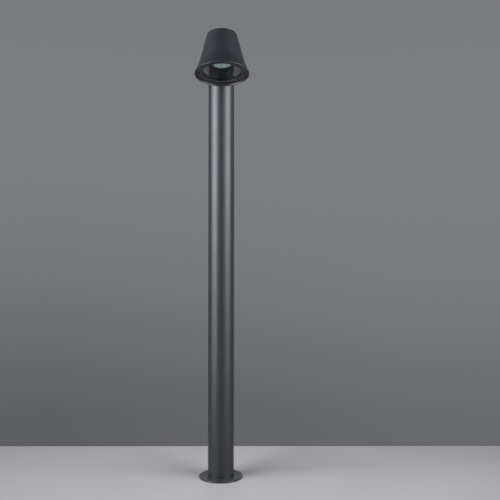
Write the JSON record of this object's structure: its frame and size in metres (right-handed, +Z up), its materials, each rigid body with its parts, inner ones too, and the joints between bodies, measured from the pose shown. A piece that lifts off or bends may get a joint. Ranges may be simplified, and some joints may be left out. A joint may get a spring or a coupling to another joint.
{
  "type": "bollard light",
  "caption": "Slim round bollard light on a flanged foot, with a tilting conical head that holds a spot lamp behind a clear glass.",
  "frame": {"origin": "centre of the foot flange's underside, which is also the centre of the three anchor holes", "axes": "+Z up along the post, -Y towards the side the head hangs on, +X to the right seen from that side"},
  "size_m": [0.1186, 0.2234, 1],
  "materials": {
    "coat": "fine-textured matt powder coat, anthracite",
    "ring_coat": "smooth satin black coat",
    "black_steel": "blackened steel",
    "zinc_steel": "zinc-plated",
    "brass": "turned",
    "black_rubber": "matt",
    "white_plastic": "moulded",
    "washer_plastic": "low-friction washer",
    "clear_glass": "clear, toughened",
    "holder_ceramic": "unglazed",
    "lamp_shell": "satin white",
    "lens_plastic": "clear moulded optic",
    "led_board": "metal-core board",
    "driver_board": "printed board",
    "cable_sheath": "matt",
    "brown_wire": "satin",
    "blue_wire": "satin",
    "earth_wire": "green with a yellow stripe"
  },
  "bodies": {
    "post": {"foot_flange": "coat", "cable_grommet": "black_rubber", "foot_screws": "black_steel", "terminal_plate": "zinc_steel", "plate_screws": "zinc_steel", "terminal_block": "white_plastic", "block_screws": "zinc_steel", "terminal_screws": "brass", "cable_saddle": "white_plastic", "saddle_screws": "zinc_steel", "earth_screw": "brass", "earth_link": "earth_wire", "post_tube": "coat", "post_cap": "coat", "cap_seal": "black_rubber", "arm_bracket": "coat", "arm_nut_plate": "zinc_steel", "arm_screws": "black_steel", "pivot_nipple": "brass", "pivot_nuts": "brass", "friction_washer": "washer_plastic", "knuckle_cap_left": "coat", "post_cable": "cable_sheath", "post_core_brown": "brown_wire", "post_core_blue": "blue_wire", "post_core_earth": "earth_wire"},
    "head": {"head_knuckle": "coat", "knuckle_cap_right": "coat", "knuckle_gasket": "black_rubber", "knuckle_screws": "zinc_steel", "shade": "coat", "glass_gasket": "black_rubber", "glass": "clear_glass", "trim_ring": "ring_coat", "ring_screws": "black_steel", "holder_plate": "zinc_steel", "plate_fixing_screws": "zinc_steel", "lampholder": "holder_ceramic", "holder_contacts": "brass", "holder_screws": "zinc_steel", "head_earth_tag": "brass", "head_cable": "cable_sheath", "head_core_brown": "brown_wire", "head_core_blue": "blue_wire", "head_core_earth": "earth_wire"},
    "lamp": {"lamp_body": "lamp_shell", "lamp_lens": "lens_plastic", "lamp_led": "led_board", "lamp_driver": "driver_board", "lamp_pins": "zinc_steel"}
  },
  "joints": [
    {"name": "head_tilt", "type": "hinge", "parent": "post", "child": "head", "pos_m": [0, -0.0461, 0.95163], "axis": [-1, 0, 0], "range_deg": [-12.4, 47.6]},
    {"name": "lamp_twist", "type": "hinge", "parent": "head", "child": "lamp", "pos_m": [0, -0.11565, 0.90344], "axis": [0, -0.2147, -0.9767], "range_deg": [0, 25]}
  ]
}
